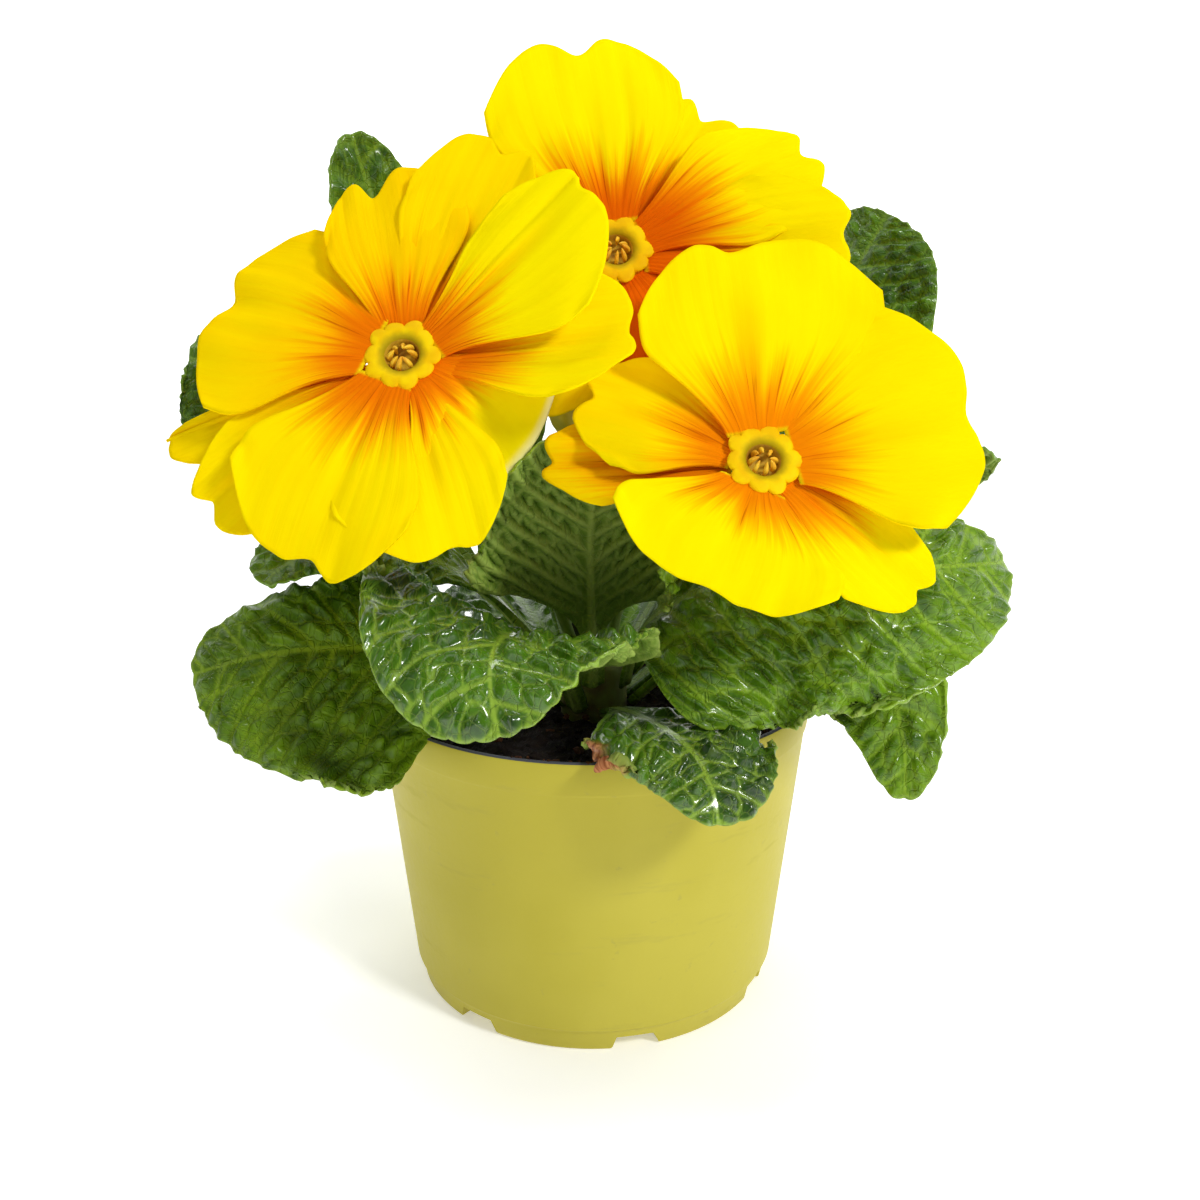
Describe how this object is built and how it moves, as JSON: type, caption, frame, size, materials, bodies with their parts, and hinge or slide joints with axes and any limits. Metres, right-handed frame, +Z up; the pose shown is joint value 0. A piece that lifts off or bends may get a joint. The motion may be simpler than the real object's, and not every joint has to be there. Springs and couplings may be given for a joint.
{
  "type": "potted primrose",
  "caption": "Flowering primrose plant in a round tapered plastic nursery pot with soil, crinkled leaves and heart-shaped petals; stands on a table or sill as decoration.",
  "frame": {"origin": "middle of the pot's underside, on the surface that it stands on", "axes": "+Z is up along the pot's axis, and -Y is the side that the plant shows first, with its three large blooms"},
  "size_m": [0.1655, 0.1365, 0.1861],
  "materials": {
    "pot_plastic": "thin thermoformed plastic, olive yellow-green outside and dark grey inside, satin",
    "potting_soil": "dark peat-based potting soil, crumbly and matte",
    "crown": "fleshy green rootstock",
    "leaf": "crinkled, quilted green leaf with pale veins, slightly glossy on top and paler beneath",
    "stalk": "fleshy pale green stalk and calyx with fine hairs",
    "petal": "thin soft petal, saturated yellow with an orange heart, matte"
  },
  "bodies": {
    "root": {"pot": "pot_plastic", "soil": "potting_soil", "crown": "crown", "leaf_left_low": "leaf", "leaf_left_small": "leaf", "leaf_front_left": "leaf", "leaf_centre": "leaf", "leaf_front_low": "leaf", "leaf_right_low": "leaf", "leaf_right": "leaf", "leaf_right_mid": "leaf", "leaf_right_back": "leaf", "leaf_right_hind": "leaf", "leaf_back": "leaf", "leaf_back_right": "leaf", "leaf_back_left": "leaf", "leaf_left_back": "leaf", "leaf_left_mid": "leaf", "leaf_left_hind": "leaf", "bloom_left": "petal", "bloom_top": "petal", "bloom_right": "petal", "bloom_back": "petal", "bloom_bud": "petal", "stalk_left": "stalk", "stalk_top": "stalk", "stalk_right": "stalk", "stalk_back": "stalk", "stalk_bud": "stalk"}
  },
  "joints": []
}
